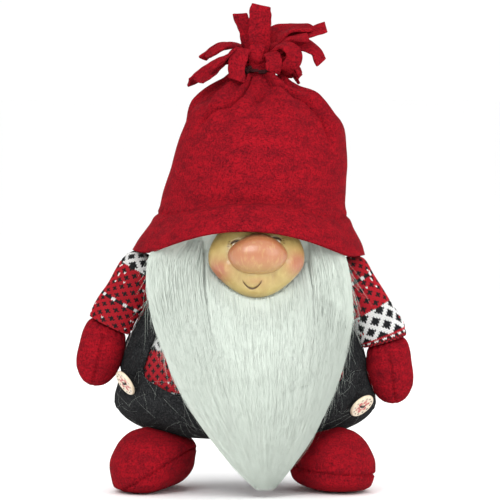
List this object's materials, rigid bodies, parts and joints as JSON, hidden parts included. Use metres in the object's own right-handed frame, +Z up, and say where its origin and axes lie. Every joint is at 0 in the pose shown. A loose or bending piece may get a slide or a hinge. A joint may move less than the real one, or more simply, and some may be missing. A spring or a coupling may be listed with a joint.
{
  "type": "plush gnome figurine",
  "caption": "Standing stuffed gnome with a gathered felt hat, moulded face, long fur beard, patterned knit sweater, wool overalls, two swinging arms and round felt boots.",
  "frame": {"origin": "bottom centre of the outer box, on the plane of the boot soles", "axes": "+Z up through the hat; the face looks along -Y; the figure's picture-left arm is at -X"},
  "size_m": [0.2474, 0.1788, 0.3559],
  "materials": {
    "red_felt": "matte heathered wool felt",
    "grey_wool": "matte brushed wool cloth",
    "patterned_knit": "machine knit with a red, black and white pattern",
    "white_fur": "long pile fur",
    "painted_resin": "cast resin, painted and glazed",
    "painted_wood": "painted and varnished",
    "white_cotton": "plain woven cotton",
    "fibre_filling": "loose polyester fibre",
    "pellet_bag": "plastic pellets in a cloth bag",
    "grey_board": "plain board",
    "dark_cord": "waxed cotton cord"
  },
  "bodies": {
    "figure": {"base_card": "grey_board", "beard_backing": "white_cotton", "beard_pile": "white_fur", "body_stuffing": "fibre_filling", "boot_insole_left": "grey_board", "boot_insole_right": "grey_board", "boot_sole_left": "red_felt", "boot_sole_right": "red_felt", "boot_stuffing_left": "fibre_filling", "boot_stuffing_right": "fibre_filling", "boot_upper_left": "red_felt", "boot_upper_right": "red_felt", "button_left": "painted_wood", "button_right": "painted_wood", "button_thread_left": "white_cotton", "button_thread_right": "white_cotton", "face_mask": "painted_resin", "fringe_back_high": "red_felt", "fringe_back_left": "red_felt", "fringe_back_right": "red_felt", "fringe_front_curl": "red_felt", "fringe_front_short": "red_felt", "fringe_left_thin": "red_felt", "fringe_left_wide": "red_felt", "fringe_right_curl": "red_felt", "fringe_right_front": "red_felt", "fringe_right_high": "red_felt", "fringe_tall_front": "red_felt", "fringe_tall_left": "red_felt", "hat_crown": "red_felt", "hat_hem": "red_felt", "hat_stuffing": "fibre_filling", "hat_tie": "dark_cord", "head_cover": "white_cotton", "head_stuffing": "fibre_filling", "overalls": "grey_wool", "pellet_bag": "pellet_bag", "strap_back_left": "grey_wool", "strap_back_right": "grey_wool", "strap_front_left": "grey_wool", "strap_front_right": "grey_wool", "sweater_body": "patterned_knit"},
    "shoulder_left": {"shoulder_knot_left": "white_cotton"},
    "shoulder_right": {"shoulder_knot_right": "white_cotton"},
    "arm_left": {"sleeve_left": "patterned_knit", "sleeve_stuffing_left": "fibre_filling", "mitten_left": "red_felt", "mitten_stuffing_left": "fibre_filling"},
    "arm_right": {"sleeve_right": "patterned_knit", "sleeve_stuffing_right": "fibre_filling", "mitten_right": "red_felt", "mitten_stuffing_right": "fibre_filling"}
  },
  "joints": [
    {"name": "arm_left_swing", "type": "hinge", "parent": "figure", "child": "shoulder_left", "pos_m": [-0.0788, -0.00647, 0.1565], "axis": [-1, 0, 0], "range_deg": [-35, 80]},
    {"name": "arm_left_raise", "type": "hinge", "parent": "shoulder_left", "child": "arm_left", "pos_m": [-0.0788, -0.00647, 0.1565], "axis": [0, 1, 0], "range_deg": [0, 50]},
    {"name": "arm_right_swing", "type": "hinge", "parent": "figure", "child": "shoulder_right", "pos_m": [0.08075, -0.00647, 0.153], "axis": [-1, 0, 0], "range_deg": [-35, 80]},
    {"name": "arm_right_raise", "type": "hinge", "parent": "shoulder_right", "child": "arm_right", "pos_m": [0.08075, -0.00647, 0.153], "axis": [0, -1, 0], "range_deg": [0, 50]}
  ]
}
